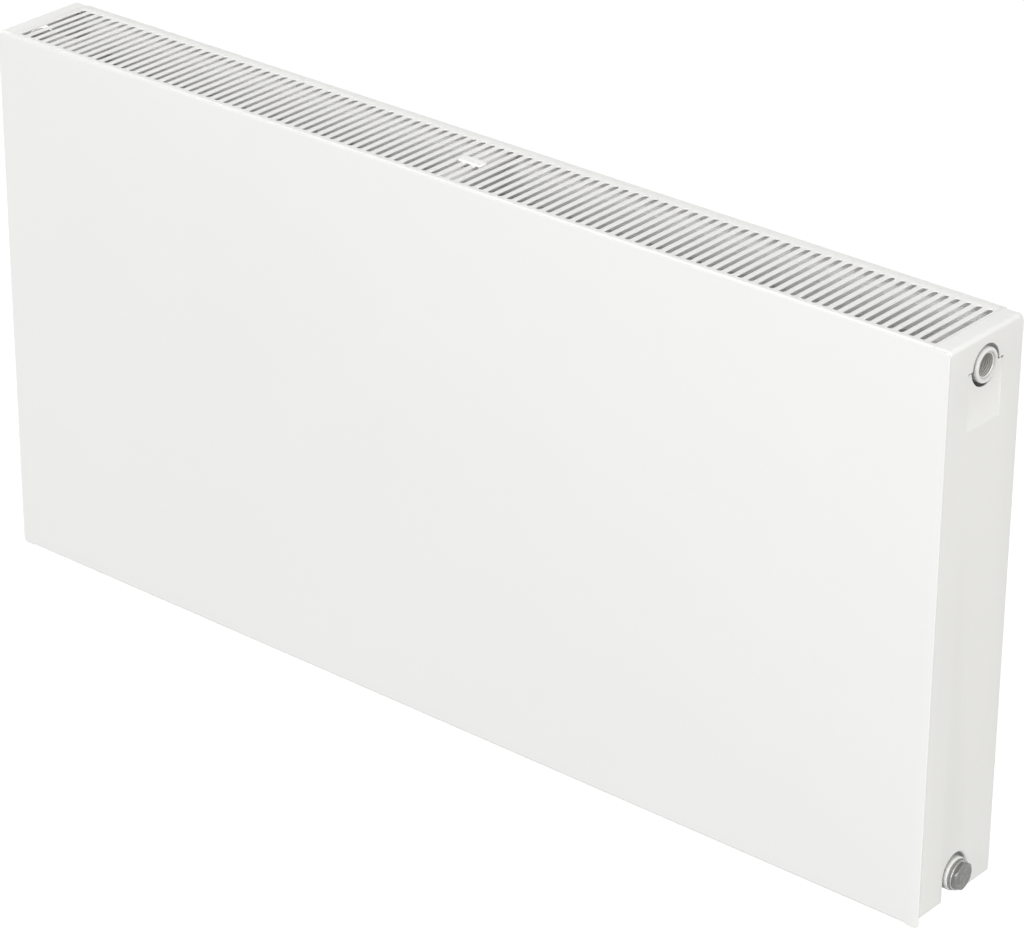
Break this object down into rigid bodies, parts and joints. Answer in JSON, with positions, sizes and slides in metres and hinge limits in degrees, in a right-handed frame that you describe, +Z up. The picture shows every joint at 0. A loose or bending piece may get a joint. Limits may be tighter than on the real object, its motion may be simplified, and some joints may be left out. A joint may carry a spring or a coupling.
{
  "type": "panel radiator",
  "caption": "Flat-fronted wall radiator: pressed steel water panels and convector fins behind a smooth plate, with lift-off slotted grille, pull-off side covers and screwed ports.",
  "frame": {"origin": "middle of the length and of the overall depth, level with the bottom edge of the front plate", "axes": "+X along the radiator to its right end as seen from the front, +Y towards the wall, +Z up"},
  "size_m": [1.017, 0.1024, 0.502],
  "materials": {
    "white_paint": "smooth semi-gloss white powder coat on steel",
    "white_plastic": "white moulded plastic",
    "adhesive": "cured elastic adhesive",
    "nickel": "dull nickel plate on brass",
    "seal_fibre": "grey sealing ring"
  },
  "bodies": {
    "radiator_body": {"front_cover_plate": "white_paint", "bonding_strips": "adhesive", "front_panel_outer_sheet": "white_paint", "front_panel_inner_sheet": "white_paint", "rear_panel_inner_sheet": "white_paint", "rear_panel_outer_sheet": "white_paint", "front_convector": "white_paint", "rear_convector": "white_paint", "connection_tees": "white_paint", "grille_strap": "white_paint", "plug_seals": "seal_fibre", "blanking_plug": "nickel", "vent_plug_body": "nickel", "wall_lugs": "white_paint"},
    "top_grille": {"top_grille": "white_paint"},
    "grille_clip": {"grille_clip": "white_plastic"},
    "left_side_cover": {"left_side_cover": "white_paint"},
    "right_side_cover": {"right_side_cover": "white_paint"},
    "vent_screw": {"vent_screw": "nickel"},
    "vent_nozzle": {"vent_nozzle": "white_plastic"}
  },
  "joints": [
    {"name": "grille_lift", "type": "slide", "parent": "radiator_body", "child": "top_grille", "axis": [0, 0, 1], "range_m": [0, 0.06]},
    {"name": "clip_pull", "type": "slide", "parent": "top_grille", "child": "grille_clip", "axis": [0, 0, 1], "range_m": [0, 0.03]},
    {"name": "left_cover_pull", "type": "slide", "parent": "radiator_body", "child": "left_side_cover", "axis": [-1, 0, 0], "range_m": [0, 0.06]},
    {"name": "right_cover_pull", "type": "slide", "parent": "radiator_body", "child": "right_side_cover", "axis": [1, 0, 0], "range_m": [0, 0.06]},
    {"name": "vent_screw_turn", "type": "hinge", "parent": "radiator_body", "child": "vent_screw", "pos_m": [-0.5, -0.00275, 0.473], "axis": [-1, 0, 0], "range_deg": [0, 360]},
    {"name": "vent_nozzle_swivel", "type": "hinge", "parent": "radiator_body", "child": "vent_nozzle", "pos_m": [-0.506, -0.00275, 0.473], "axis": [-1, 0, 0], "continuous": true}
  ]
}
